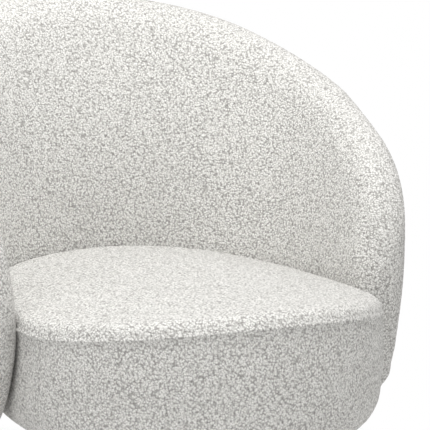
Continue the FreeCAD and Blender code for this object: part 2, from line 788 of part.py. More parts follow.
def lift(out, along, height):
    """An upright place over a plan point, measured from the widest line."""
    return Placement(Vector(out, along, height), Rotation())


# Legs: tops, feet and hardware

plate_low = S.body_bottom + gap
dust_high = S.body_bottom - gap
dust_low = dust_high - S.dust_thick
leg_high = dust_low - gap
foot_shift = (leg_high - S.glide_high) * math.tan(math.radians(S.leg_splay)) / math.sqrt(2)
LEGS = [("front_left", -1, -1), ("front_right", 1, -1), ("back_left", -1, 1), ("back_right", 1, 1)]
LEG_RISE = "sizes.body_bottom - sizes.dust_thick - 2 * sizes.fit_gap - sizes.glide_high"
SCREWS = 4            # screws in each leg plate


def leg_top(side, end):
    return side * S.leg_out, S.leg_back if end > 0 else -S.leg_front


def leg_foot(side, end):
    out, along = leg_top(side, end)
    return out + side * foot_shift, along + end * foot_shift


def screw_places(side, end):
    out, along = leg_top(side, end)
    places = []
    for count in range(SCREWS):
        turn = 2 * math.pi * count / SCREWS
        places.append((out + S.screw_ring * math.cos(turn), along + S.screw_ring * math.sin(turn)))
    return places


def make_base_board(board):
    """Base board with holes for the plates' bosses and screws, and the dust cloth under it."""
    blank = doc.addObject("Part::Feature", "board_blank")
    blank.Shape = board
    blank.setExpression("Placement.Base.y", "sizes.plan_shift")
    cloth = doc.addObject("Part::Feature", "cloth_blank")
    cloth.Shape = prism(opening_inset - S.dust_lap, dust_low, dust_high)
    cloth.setExpression("Placement.Base.y", "sizes.plan_shift")
    board_holes = []
    cloth_holes = []
    boss_hole = "sizes.boss_radius + sizes.fit_gap"
    stud_hole = "sizes.stud_radius + sizes.bolt_clear"
    screw_hole = "sizes.screw_radius + sizes.thread_clear"
    screw_room = "sizes.plate_thick + sizes.screw_long + sizes.fit_gap"
    board_room = "sizes.board_thick + 2 * sizes.fit_gap"
    cloth_room = "sizes.dust_thick + 2 * sizes.fit_gap"
    for name, side, end in LEGS:
        top = leg_top(side, end)
        board_holes.append(cylinder(boss_hole, board_room, lift(*top, board_low - gap)))
        cloth_holes.append(cylinder(stud_hole, cloth_room, lift(*top, dust_low - gap)))
        for out, along in screw_places(side, end):
            board_holes.append(cylinder(screw_hole, screw_room, lift(out, along, plate_low)))
    board = cut(blank, join(board_holes))
    board.Label = "base_board"
    cloth = cut(cloth, join(cloth_holes))
    cloth.Label = "dust_cloth"
    pieces.extend([board, cloth])


def make_leg(name, side, end):
    """A tapered leg, splayed along the diagonal and cut level at its top and foot."""
    out, along = leg_top(side, end)
    tilt = Rotation(Vector(end, -side, 0), S.leg_splay)
    down = (leg_high - S.glide_high) / math.cos(math.radians(S.leg_splay)) + S.leg_top_radius
    low = Vector(out, along, leg_high) - tilt.multVec(UP) * down
    cone_sizes = {
        "Radius1": "sizes.leg_foot_radius",
        "Radius2": "sizes.leg_top_radius",
        "Height": "(%s) / cos(sizes.leg_splay * 1 deg) + 2 * sizes.leg_top_radius" % LEG_RISE,
    }
    cone = primitive("Cone", cone_sizes, Placement(low, tilt))
    band_sizes = {"Length": "2 * sizes.leg_out", "Width": "2 * sizes.leg_out", "Height": LEG_RISE}
    band = primitive("Box", band_sizes, lift(out - S.leg_out, along - S.leg_out, S.glide_high))
    level = doc.addObject("Part::Common", "level_leg")
    level.Base = cone
    level.Tool = band
    pin_hole = cylinder("sizes.glide_pin + sizes.thread_clear", "sizes.glide_pin_long + sizes.fit_gap",
                        lift(*leg_foot(side, end), S.glide_high))
    stud_hole = cylinder("sizes.stud_radius + sizes.thread_clear", "sizes.stud_in_leg + sizes.fit_gap",
                         lift(out, along, leg_high - S.stud_in_leg - gap))
    leg = cut(level, join([pin_hole, stud_hole]))
    leg.Label = "leg_" + name
    pieces.append(leg)


def origin_plane(body, role):
    return next(feature for feature in body.Origin.OriginFeatures if feature.Role == role)


def sketch_on(body, role, name):
    sketch = body.newObject("Sketcher::SketchObject", name)
    sketch.AttachmentSupport = [(origin_plane(body, role), "")]
    sketch.MapMode = "FlatFace"
    return sketch


def turned(label, corners):
    """A body turned about its own Z axis; corners are expressions for radius and height."""
    body = doc.addObject("PartDesign::Body", label)
    body.Label = label
    profile = sketch_on(body, "XZ_Plane", label + "_profile")
    points = [Vector(value_of(radius), value_of(height), 0) for radius, height in corners]
    for start, end in zip(points, points[1:] + points[:1]):
        profile.addGeometry(Part.LineSegment(start, end), False)
    count = len(corners)
    for index, (radius, height) in enumerate(corners):
        profile.addConstraint(Sketcher.Constraint("Coincident", index, 2, (index + 1) % count, 1))
        pin_down(profile, "DistanceX", index, radius, -2)
        pin_down(profile, "DistanceY", index, height, -1)
    spin = body.newObject("PartDesign::Revolution", label + "_turning")
    spin.Profile = profile
    spin.ReferenceAxis = (profile, ["V_Axis"])
    spin.Angle = 360
    return body


def value_of(expression):
    return float(sheet.evalExpression(expression))


def pin_down(sketch, kind, index, expression, axis):
    """Hold a corner on an axis, or at a distance from the middle that an expression gives."""
    if expression == "0":
        sketch.addConstraint(Sketcher.Constraint("PointOnObject", index, 1, axis))
        return
    number = sketch.addConstraint(Sketcher.Constraint(kind, -1, 1, index, 1, value_of(expression)))
    sketch.setExpression("Constraints[%d]" % number, expression)


def put(body, out, along, height):
    """Place a body over a plan point; the numbers are expressions of the sheet's aliases."""
    body.setExpression("Placement.Base.x", out)
    body.setExpression("Placement.Base.y", "sizes.plan_shift + " + along)
    body.setExpression("Placement.Base.z", height)
    pieces.append(body)


def make_glide(name, side, end):
    """A glide: a flat disc with a pin driven into the leg's foot."""
    body = turned("glide_" + name, [
        ("0", "0"),
        ("sizes.glide_radius", "0"),
        ("sizes.glide_radius", "sizes.glide_high"),
        ("sizes.glide_pin", "sizes.glide_high"),
        ("sizes.glide_pin", "sizes.glide_high + sizes.glide_pin_long"),
        ("0", "sizes.glide_high + sizes.glide_pin_long"),
    ])
    foot = "(%s) * tan(sizes.leg_splay * 1 deg) / sqrt(2)" % LEG_RISE
    top = "sizes.leg_back" if end > 0 else "-sizes.leg_front"
    put(body, "%d * (sizes.leg_out + %s)" % (side, foot), "(%s + %d * %s)" % (top, end, foot), "0")


def make_plate(name, side, end):
    """A round steel leg plate with a threaded boss and four recessed screw holes."""
    hole = "sizes.stud_radius + sizes.thread_clear"
    boss_top = "sizes.plate_thick + sizes.boss_high"
    body = turned("leg_plate_" + name, [
        (hole, "0"),
        ("sizes.plate_radius", "0"),
        ("sizes.plate_radius", "sizes.plate_thick"),
        ("sizes.boss_radius", "sizes.plate_thick"),
        ("sizes.boss_radius", boss_top),
        (hole, boss_top),
    ])
    recess = round_pocket(body, "sizes.screw_head_radius + sizes.thread_clear", "sizes.screw_head_high")
    through = round_pocket(body, "sizes.screw_radius + sizes.thread_clear", "sizes.plate_thick")
    ring = body.newObject("PartDesign::PolarPattern", "screw_holes")
    ring.Originals = [recess, through]
    ring.Axis = (origin_plane(body, "Z_Axis"), [""])
    ring.Angle = 360
    ring.Occurrences = SCREWS
    body.Tip = ring
    top = "sizes.leg_back" if end > 0 else "-sizes.leg_front"
    put(body, "%d * sizes.leg_out" % side, "(%s)" % top, "sizes.body_bottom + sizes.fit_gap")


def round_pocket(body, radius, deep):
    """A round hole at the screw ring, cut upward from the body's lower face."""
    sketch = sketch_on(body, "XY_Plane", "screw_hole")
    centre = Vector(S.screw_ring, 0, 0)
    sketch.addGeometry(Part.Circle(centre, UP, value_of(radius)), False)
    sketch.addConstraint(Sketcher.Constraint("PointOnObject", 0, 3, -1))
    out = sketch.addConstraint(Sketcher.Constraint("DistanceX", -1, 1, 0, 3, S.screw_ring))
    sketch.setExpression("Constraints[%d]" % out, "sizes.screw_ring")
    size = sketch.addConstraint(Sketcher.Constraint("Radius", 0, value_of(radius)))
    sketch.setExpression("Constraints[%d]" % size, radius)
    pocket = body.newObject("PartDesign::Pocket", "screw_pocket")
    pocket.Profile = sketch
    pocket.setExpression("Length", deep)
    pocket.Reversed = True
    return pocket


def make_leg_hardware():
    """Studs between legs and plates, and the plates' screws."""
    in_leg = "sizes.stud_in_leg + sizes.dust_thick + 3 * sizes.fit_gap"
    in_plate = "sizes.plate_thick + sizes.boss_high"
    screw_length = "sizes.plate_thick + sizes.screw_long"
    studs = []
    screws = []
    for name, side, end in LEGS:
        place = lift(*leg_top(side, end), leg_high - S.stud_in_leg)
        studs.append(cylinder("sizes.stud_radius", in_leg + " + " + in_plate, place))
        for out, along in screw_places(side, end):
            place = lift(out, along, plate_low)
            head = cylinder("sizes.screw_head_radius", "sizes.screw_head_high", place)
            shank = cylinder("sizes.screw_radius", screw_length, place)
            screws.append(join([head, shank]))
    group("leg_studs", studs)
    group("plate_screws", screws)


def outward(way, distance):
    """The bolt's place, moved outward along its axis."""
    return way.multiply(Placement(Vector(0, 0, distance), Rotation()))


def make_wall_bolts():
    """Bolts, washers and nuts between the seat rails and the wall's bottom rail."""
    in_seat = "sizes.washer_thick - sizes.spot_face + sizes.rail_inset + sizes.rail_thick"
    in_wall = "sizes.wall_gap + sizes.wall_rail_face + sizes.wall_rail_thick"
    bore_radius = "sizes.bolt_radius + sizes.thread_clear"
    bore_length = "sizes.washer_thick + 2 * sizes.fit_gap"
    thread_length = "sizes.barrel_long + sizes.nut_flange + 2 * sizes.fit_gap"
    barrel_seat = nut_seat - S.barrel_long
    bolts = []
    washers = []
    nuts = []
    for way in bolt_ways:
        shank = cylinder("sizes.bolt_radius", in_seat + " + " + in_wall, outward(way, head_seat))
        head = cylinder("sizes.head_radius", "sizes.head_thick", outward(way, head_seat - S.head_thick))
        bolts.append(join([shank, head]))
        disc = cylinder("sizes.washer_radius", "sizes.washer_thick", outward(way, head_seat))
        bore = cylinder(bore_radius, bore_length, outward(way, head_seat - gap))
        washers.append(cut(disc, bore))
        flange = cylinder("sizes.nut_radius", "sizes.nut_flange", outward(way, nut_seat))
        barrel = cylinder("sizes.barrel_radius", "sizes.barrel_long", outward(way, barrel_seat))
        thread = cylinder(bore_radius, thread_length, outward(way, barrel_seat - gap))
        nuts.append(cut(join([flange, barrel]), thread))
    group("wall_bolts", bolts)
    group("wall_washers", washers)
    group("wall_nuts", nuts)


make_seat_covers()
make_seat_foam()
make_spacers()
make_base_board(make_seat_frame())
make_webbing()
make_wall_bolts()
make_leg_hardware()
for leg_name, leg_side, leg_end in LEGS:
    make_leg(leg_name, leg_side, leg_end)
    make_glide(leg_name, leg_side, leg_end)
    make_plate(leg_name, leg_side, leg_end)


# Check and write

doc.recompute()
for thing in doc.Objects:
    if "Invalid" in thing.State or "Error" in thing.State:
        raise RuntimeError("%s: %s" % (thing.Label, thing.State))
os.makedirs("parts", exist_ok=True)
for thing in pieces:
    if thing.Shape.isNull() or not thing.Shape.isValid():
        raise RuntimeError("%s has no valid shape" % thing.Label)
for thing in pieces:
    thing.Shape.exportStep("parts/%s.step" % thing.Label)
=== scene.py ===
"""Looks of the tub chair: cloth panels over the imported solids, materials, light and camera.

Metres, +Z up, the chair faces -Y. The cloth panels follow the same arcs and sections as the
solids, with finer steps, drawn-in seams and a looped surface.
"""

import json
import math

import bmesh
import bpy
import numpy as np
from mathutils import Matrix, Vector, kdtree


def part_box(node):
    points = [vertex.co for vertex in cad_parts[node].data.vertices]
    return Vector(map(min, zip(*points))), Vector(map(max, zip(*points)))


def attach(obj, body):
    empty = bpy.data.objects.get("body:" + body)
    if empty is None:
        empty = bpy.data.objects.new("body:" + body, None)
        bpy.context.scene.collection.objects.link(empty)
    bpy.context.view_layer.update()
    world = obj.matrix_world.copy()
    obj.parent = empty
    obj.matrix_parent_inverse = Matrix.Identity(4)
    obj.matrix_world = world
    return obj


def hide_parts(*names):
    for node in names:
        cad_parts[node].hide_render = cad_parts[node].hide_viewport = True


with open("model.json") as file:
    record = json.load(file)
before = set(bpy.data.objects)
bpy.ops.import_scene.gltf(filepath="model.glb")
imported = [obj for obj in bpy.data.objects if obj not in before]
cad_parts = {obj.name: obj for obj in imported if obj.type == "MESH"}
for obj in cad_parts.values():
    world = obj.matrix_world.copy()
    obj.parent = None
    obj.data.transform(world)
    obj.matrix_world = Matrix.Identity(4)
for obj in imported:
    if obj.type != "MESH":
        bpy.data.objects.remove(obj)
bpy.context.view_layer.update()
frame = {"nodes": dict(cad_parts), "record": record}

# Seat outline and seat block
SEAT_HALF_WIDTH = 0.243   # half of the outline's widest line
SEAT_BACK_REACH = 0.272   # from that line to the back
SEAT_FRONT_REACH = 0.270  # and to the front
SIDE_ARC = 0.620          # radii of the outline's arcs, behind the widest line and ahead of it
FRONT_SIDE_ARC = 0.900
BACK_ARC = 0.415
FRONT_ARC = 0.245
BACK_CORNER = 0.182
FRONT_CORNER = 0.186
SEAT_TOP = 0.430          # peak of the crown
CROWN_ACROSS = 0.940      # radius of the crown from side to side
CROWN_ALONG = 7.500       # and from front to back
CROWN_BACK = 0.100        # the peak lies this far behind the widest line
SEAT_ROLL = 0.016         # rounding of the upper edge
SEAT_UNDER = 0.060        # rounding of the lower edge
SEAM_DROP = 0.017         # the seam lies this far under the crown's surface
BODY_BOTTOM = 0.230       # underside of the seat
TURN_UNDER = 0.004        # the cover turns under by this

# Wall
WALL_GAP = 0.0005         # between the seat and the wall
WALL_BOTTOM = 0.1995      # underside of the wall
CREST_HEIGHT = 0.780      # top of the rim
NOSE_HEIGHT = 0.4275      # foremost point of an arm
NOSE_FRONT = 0.049        # its place ahead of the widest line
NOSE_ARC = 0.204          # radius of the rim over it
RIM_SLOPE = math.radians(33.5)
LOW_RUN = 0.141           # over this run the underside falls from that point to the bottom
ARM_THICK = 0.0734        # thickness of an arm
BACK_THICK = 0.102        # of the middle of the back, at the rim
LOW_THICK = 0.0986        # of the wall low down
ARM_LEAN = math.radians(11.5)
BACK_LEAN = math.radians(19.5)
INNER_LOW = 0.566         # levels, as shares from the underside up to NOSE_HEIGHT
INNER_SEAT = 0.65
OUTER_LOW = 0.449
CAP_LIMIT = 0.9           # most that the rim's rounding takes of the height over NOSE_HEIGHT
LOW_POINT = 0.595         # place of the lowest point across the wall, from inside
FACE_BOW = math.radians(4)    # bow of the outer face
THICKEN_FROM = 0.150      # behind this station the rim thickens
PANEL_EDGE = 0.052        # the outside seam lies this far inside the rim

# Cloth
LOOP_SIZE = 0.0028        # one loop of the cloth
LOOP_HEIGHT = 0.0010      # it stands up by this much
SEAM_DEPTH = 0.0020       # a seam draws the cloth in by this much
SEAM_WIDTH = 0.0036       # reach of that groove to each side
SEAM_PULL = 0.0015        # wide, soft hollow beside a seam
SEAM_SOFT = 0.016         # reach of that hollow to each side
SMALL = 1e-12             # keeps a root or a division clear of zero


# Plan outline

class Quarter:
    """Side, corner and end arc of one quarter of the seat's outline, for x > 0 and y > 0."""

    def __init__(self, reach, side, corner, end):
        self.side, self.corner, self.end = side, corner, end
        self.side_centre = np.array([SEAT_HALF_WIDTH - side, 0.0])
        self.end_centre = np.array([0.0, reach - end])
        between = self.end_centre - self.side_centre
        span = np.linalg.norm(between)
        along = (span ** 2 + (side - corner) ** 2 - (end - corner) ** 2) / (2 * span)
        across = math.sqrt((side - corner) ** 2 - along ** 2)
        unit = between / span
        square = np.array([-unit[1], unit[0]]) * across
        foot = self.side_centre + unit * along
        self.corner_centre = max(foot + square, foot - square, key=sum)
        self.side_turn = math.atan2(*(self.corner_centre - self.side_centre)[::-1])
        self.end_turn = math.atan2(*(self.corner_centre - self.end_centre)[::-1])
        self.side_length = side * self.side_turn
        self.corner_length = corner * (self.end_turn - self.side_turn)
        self.length = self.side_length + self.corner_length + end * (math.pi / 2 - self.end_turn)

    def at(self, run, gap=0.0):
        """Point and outward direction at a run along the outline, from its widest line."""
        if run <= self.side_length:
            centre, radius, turn = self.side_centre, self.side, run / self.side
        elif run <= self.side_length + self.corner_length:
            centre, radius = self.corner_centre, self.corner
            turn = self.side_turn + (run - self.side_length) / self.corner
        else:
            centre, radius = self.end_centre, self.end
            turn = self.end_turn + (run - self.side_length - self.corner_length) / self.end
        out = np.array([math.cos(turn), math.sin(turn)])
        return centre + out * (radius + gap), out


BACK = Quarter(SEAT_BACK_REACH, SIDE_ARC, BACK_CORNER, BACK_ARC)
FRONT = Quarter(SEAT_FRONT_REACH, FRONT_SIDE_ARC, FRONT_CORNER, FRONT_ARC)


def outline(step):
    """The whole outline as points and outward directions, anticlockwise from its widest line."""
    back = [BACK.at(run) for run in np.linspace(0, BACK.length, int(BACK.length / step))]
    front = [FRONT.at(run) for run in np.linspace(0, FRONT.length, int(FRONT.length / step))]
    quarters = [
        back,
        mirrored(back[-2::-1], -1, 1),
        mirrored(front[1:], -1, -1),
        mirrored(front[-2:0:-1], 1, -1),
    ]
    places = [place for quarter in quarters for place in quarter]
    return np.array([point for point, out in places]), np.array([out for point, out in places])


def mirrored(places, side, end):
    flip = np.array([side, end])
    return [(point * flip, out * flip) for point, out in places]


# Wall sections

def ease(value):
    value = min(max(value, 0.0), 1.0)
    return value * value * (3 - 2 * value)


WALL_LENGTH = NOSE_FRONT + BACK.length + WALL_GAP * math.pi / 2    # arm's front to middle of back


def wall_at(station):
    """Point on the wall's inner line and the outward direction there."""
    if station <= NOSE_FRONT:
        return np.array([SEAT_HALF_WIDTH + WALL_GAP, station - NOSE_FRONT]), np.array([1.0, 0.0])
    run = min((station - NOSE_FRONT) * BACK.length / (WALL_LENGTH - NOSE_FRONT), BACK.length)
    return BACK.at(run, WALL_GAP)


def rim(station, inset):
    """Height and slope of the rim: arm front arc, straight slope, crest arc."""
    rise = math.cos(RIM_SLOPE)
    lean = math.sin(RIM_SLOPE)
    arm_end = NOSE_ARC * (1 - lean)
    run_left = WALL_LENGTH - arm_end
    rise_left = CREST_HEIGHT - NOSE_HEIGHT - NOSE_ARC * rise
    crest_arc = (rise * rise_left - lean * run_left) / (rise * (1 - rise) - lean ** 2)
    crest_start = WALL_LENGTH - crest_arc * lean
    shift = inset * lean
    if station <= arm_end + shift:
        run = NOSE_ARC - station
        high = math.sqrt(max((NOSE_ARC - inset) ** 2 - run ** 2, SMALL))
        return NOSE_HEIGHT + high, run / high
    if station >= crest_start + shift:
        run = WALL_LENGTH - station
        high = math.sqrt((crest_arc - inset) ** 2 - run ** 2)
        return CREST_HEIGHT - crest_arc + high, run / high
    past = station - arm_end - shift
    slope = math.tan(RIM_SLOPE)
    return NOSE_HEIGHT + (NOSE_ARC - inset) * rise + past * slope, slope


def underside(station):
    """Height of the wall's underside, which drops behind the arm's foremost point."""
    left = max(LOW_RUN - station, 0) / LOW_RUN
    return NOSE_HEIGHT - (NOSE_HEIGHT - WALL_BOTTOM) * math.sqrt(1 - left ** 2)


def section_nodes(station):
    """Points and headings (outward, up) round one section, clockwise from its top."""
    top, slope = rim(station, 0)
    low = underside(station)
    drop = NOSE_HEIGHT - low
    nose = ARM_THICK / 2
    grow = ease((station - THICKEN_FROM) / (WALL_LENGTH - THICKEN_FROM))
    if station < nose:
        half_top = math.sqrt(nose ** 2 - (nose - station) ** 2)
        half_low = half_top
        middle_low = nose
    else:
        half_top = (ARM_THICK + (BACK_THICK - ARM_THICK) * grow) / 2
        swell = ease((station - nose) / (LOW_RUN - nose))
        half_low = (ARM_THICK + (LOW_THICK - ARM_THICK) * swell) / 2
        middle_low = half_low
    lean = ARM_LEAN + (BACK_LEAN - ARM_LEAN) * ease(station / WALL_LENGTH)
    cap = min(half_top * math.hypot(1, slope), CAP_LIMIT * (top - NOSE_HEIGHT))
    shoulder = top - cap
    seat_level = low + INNER_SEAT * drop
    inner_low = middle_low - half_low
    outer_low = middle_low + half_low
    inner_top = inner_low + max(shoulder - seat_level, 0) * math.tan(lean / 2)
    outer_top = inner_top + 2 * half_top
    outer_level = low + OUTER_LOW * drop
    flare = math.atan2(outer_top - outer_low, shoulder - outer_level)
    bow = min(FACE_BOW, lean / 2)
    ridge = (inner_top + outer_top) / 2 + cap * math.sin(lean) / 2
    return [
        ((ridge, top), (1, 0)),
        ((outer_top, shoulder), (-math.sin(flare - bow), -math.cos(flare - bow))),
        ((outer_low, outer_level), (-math.sin(flare + bow), -math.cos(flare + bow))),
        ((inner_low + 2 * half_low * LOW_POINT, low), (-1, 0)),
        ((inner_low, low + INNER_LOW * drop), (0, 1)),
        ((inner_low, seat_level), (0, 1)),
        ((inner_top, shoulder), (math.sin(lean), math.cos(lean))),
    ]


STRAIGHT_TURN = 1e-6      # an arc that turns less than this is a straight line


def arc_points(start, way, end, shares):
    """Points along the arc that leaves start on a heading and ends at end."""
    start, end, way = np.array(start), np.array(end), np.array(way)
    chord = end - start
    turn = 2 * math.atan2(way[0] * chord[1] - way[1] * chord[0], way @ chord)
    if abs(turn) < STRAIGHT_TURN:
        return start + np.outer(shares, chord)
    radius = np.linalg.norm(chord) / (2 * math.sin(turn / 2))
    left = np.array([-way[1], way[0]])
    angles = np.asarray(shares) * turn
    return start + radius * (np.outer(np.sin(angles), way) + np.outer(1 - np.cos(angles), left))


def biarc_points(start, start_way, end, end_way, count):
    """Points along two arcs from start to end, tangent to both headings."""
    if start_way == end_way:
        shares = np.linspace(0, 1, count, endpoint=False)
        return np.array(start) + np.outer(shares, np.array(end) - np.array(start))
    across = np.array(end) - np.array(start)
    ways = np.array(start_way) + np.array(end_way)
    square = 2 * (1 - np.dot(start_way, end_way))
    single = 2 * np.dot(across, ways)
    reach = (-single + math.sqrt(single ** 2 + 4 * square * (across @ across))) / (2 * square)
    first = np.array(start) + reach * np.array(start_way)
    second = np.array(end) - reach * np.array(end_way)
    joint = (first + second) / 2
    joint_way = (second - first) / (2 * reach)
    half = count // 2
    shares = np.linspace(0, 1, half, endpoint=False)
    rest = np.linspace(0, 1, count - half, endpoint=False)
    return np.vstack([arc_points(start, start_way, joint, shares),
                      arc_points(joint, joint_way, end, rest)])


SECTION_COUNTS = (40, 96, 40, 40, 22, 100, 40)    # steps between the section's nodes
LOWEST_NODE = 3


def section_points(station):
    """One section as points, clockwise from its top."""
    nodes = section_nodes(station)
    runs = []
    ends = nodes[1:] + nodes[:1]
    for (start, start_way), (end, end_way), count in zip(nodes, ends, SECTION_COUNTS):
        runs.append(biarc_points(start, start_way, end, end_way, count))
    return np.vstack(runs)


CLOTH_STEP = 0.0022       # grid step of the cloth panels
PLAN_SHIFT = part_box("seat_band_cover")[0].y + SEAT_FRONT_REACH    # widest line, from the origin
TIP_REACH = 0.001         # the first ring lies within this of an arm's foremost point
TIP_STATIONS = 26         # sections round the nose of an arm
TIP_TURN = 0.06           # turn of the first of them, in radians
ABOVE_SEAM = 70           # grid steps of a section, rim to seam
BELOW_SEAM = 150          # seam to underside
INNER_FACE = 250          # underside to rim, over the inner face


def wall_stations():
    """Stations from the arm's foremost point to the middle of the back, closer at the point."""
    nose = ARM_THICK / 2
    turns = np.linspace(TIP_TURN, math.pi / 2, TIP_STATIONS)
    front = nose * (1 - np.cos(turns))
    rest = np.arange(nose + CLOTH_STEP, WALL_LENGTH, CLOTH_STEP)
    return np.concatenate([front, rest, [WALL_LENGTH]])


def resampled(points, start, stop, count, lengths):
    """Evenly spaced points of a line between two of its lengths."""
    shares = np.linspace(start, stop, count, endpoint=False)
    return np.column_stack([np.interp(shares, lengths, points[:, axis]) for axis in (0, 1)])


def section_ring(station):
    """A section's points from its top, with fixed counts to the panel seam and the lowest point."""
    points = section_points(station)
    points = np.vstack([points, points[:1]])
    lengths = np.concatenate([[0], np.cumsum(np.linalg.norm(np.diff(points, axis=0), axis=1))])
    seam_height = rim(max(station, PANEL_EDGE), PANEL_EDGE)[0]
    lowest = sum(SECTION_COUNTS[:LOWEST_NODE])
    outer = slice(0, lowest + 1)
    seam = np.interp(-seam_height, -points[outer, 1], lengths[outer])
    return np.vstack([
        resampled(points, 0, seam, ABOVE_SEAM, lengths),
        resampled(points, seam, lengths[lowest], BELOW_SEAM, lengths),
        resampled(points, lengths[lowest], lengths[-1], INNER_FACE, lengths),
    ])


def wall_grid():
    """The wall's surface as rows of closed rings, from the right arm's front to the left one's."""
    stations = wall_stations()
    right = []
    for station in stations:
        ring = section_ring(station)
        point, out = wall_at(station)
        plan = point + np.outer(ring[:, 0], out)
        right.append(np.column_stack([plan[:, 0], plan[:, 1] + PLAN_SHIFT, ring[:, 1]]))
    right = np.array(right)
    left = right[-2::-1] * np.array([-1, 1, 1])
    return stations, np.concatenate([right, left])


def mesh_piece(name, points, faces):
    mesh = bpy.data.meshes.new(name)
    mesh.from_pydata(points.tolist(), [], faces.tolist())
    mesh.validate()
    mesh.polygons.foreach_set("use_smooth", np.ones(len(mesh.polygons), bool))
    mesh.update()
    thing = bpy.data.objects.new(name, mesh)
    bpy.context.scene.collection.objects.link(thing)
    return thing


def grid_faces(rows, columns, wrap):
    """Quads between neighbouring rows and columns; wrap closes the last column to the first."""
    count = len(columns)
    index = np.array(columns)
    after = np.roll(index, -1)
    if not wrap:
        index, after = index[:-1], after[:-1]
    faces = []
    for low, high in zip(rows[:-1], rows[1:]):
        faces.append(np.column_stack([low + index, high + index, high + after, low + after]))
    return np.vstack(faces)


def only_used(points, faces):
    """Points that faces use, and the faces renumbered to them."""
    used, numbers = np.unique(faces, return_inverse=True)
    return points[used], numbers.reshape(faces.shape)


def normals_of(points, faces):
    corners = points[faces]
    across = np.cross(corners[:, 2] - corners[:, 0], corners[:, 3] - corners[:, 1])
    normals = np.zeros_like(points)
    for corner in range(4):
        np.add.at(normals, faces[:, corner], across)
    return normals / np.maximum(np.linalg.norm(normals, axis=1), SMALL)[:, None]


def drawn_in(points, normals, seam):
    """Points pulled in near a seam: a narrow groove in a wide soft hollow."""
    tree = kdtree.KDTree(len(seam))
    for number, spot in enumerate(seam):
        tree.insert(spot, number)
    tree.balance()
    far = np.array([tree.find(point)[2] for point in points.tolist()])
    depth = SEAM_DEPTH * np.exp(-(far / SEAM_WIDTH) ** 2) + SEAM_PULL * np.exp(-(far / SEAM_SOFT) ** 2)
    return points - normals * depth[:, None]


def make_wall():
    """The inside panel with its rolled rim, and the outside panel below the seam."""
    stations, rings = wall_grid()
    rows, around = rings.shape[:2]
    points = rings.reshape(-1, 3)
    starts = np.arange(rows) * around
    whole = grid_faces(starts, range(around), True)
    normals = normals_of(points, whole)
    front = int(np.searchsorted(stations, PANEL_EDGE))
    panel = [ABOVE_SEAM + step for step in range(BELOW_SEAM + 1)]
    middle_rows = starts[front:rows - front]
    edges = [
        points[middle_rows + panel[0]],
        points[middle_rows[0] + np.array(panel)],
        points[middle_rows[-1] + np.array(panel)],
    ]
    points = drawn_in(points, normals, np.vstack(edges))
    outside = grid_faces(middle_rows, panel, False)
    rest = [column % around for column in range(panel[-1], around + panel[0] + 1)]
    inside = [
        grid_faces(starts, rest, False),
        grid_faces(starts[:front + 1], panel, False),
        grid_faces(starts[rows - front - 1:], panel, False),
    ]
    inner = mesh_piece("wall_inside_panel", *only_used(points, np.vstack(inside)))
    close_ends(inner)
    outer = mesh_piece("wall_outside_panel", *only_used(points, outside))
    return inner, outer


def close_ends(thing):
    """Fill the two small rings at the arms' foremost points."""
    shape = bmesh.new()
    shape.from_mesh(thing.data)
    tip_line = PLAN_SHIFT - NOSE_FRONT + TIP_REACH
    tips = [edge for edge in shape.edges if edge.is_boundary and edge.calc_length() < CLOTH_STEP
            and edge.verts[0].co.y < tip_line]
    made = bmesh.ops.holes_fill(shape, edges=tips, sides=0)
    for face in made["faces"]:
        face.smooth = True
    shape.to_mesh(thing.data)
    shape.free()


# Seat block

def crown_height(x, y, drop=0.0):
    """Height of the seat's crown surface, lowered by a drop; y from the widest line."""
    swing = CROWN_ALONG - CROWN_ACROSS + np.sqrt((CROWN_ACROSS - drop) ** 2 - x ** 2)
    return SEAT_TOP - CROWN_ALONG + np.sqrt(swing ** 2 - (y - CROWN_BACK) ** 2)


SLOPE_STEP = 0.001        # the crown's slope is measured over this to each side


def crown_normal(x, y):
    """Upward direction square to the crown."""
    east = crown_height(x + SLOPE_STEP, y)
    west = crown_height(x - SLOPE_STEP, y)
    behind = crown_height(x, y + SLOPE_STEP)
    ahead = crown_height(x, y - SLOPE_STEP)
    rise_x = (east - west) / (2 * SLOPE_STEP)
    rise_y = (behind - ahead) / (2 * SLOPE_STEP)
    normal = np.column_stack([-rise_x, -rise_y, np.ones_like(rise_x)])
    return normal / np.linalg.norm(normal, axis=1)[:, None]


TOP_STEPS = 100           # grid steps from the middle of the crown to its rolled edge
ROLL_STEPS = 18           # round the rolled edge
LIP_STEPS = 6             # rolled edge to seam
BAND_STEPS = 40           # seam to the lower rounding
UNDER_STEPS = 46          # round the lower rounding
BAND_PUFF = 0.0030        # the band's soft swell in front
PUFF_RUN = 0.06           # over this run it grows to its full size
TURN_UP = 0.002           # the cover's edge turns up under the seat
MIDDLE_REACH = 0.1        # the crown's open middle lies within this of the origin


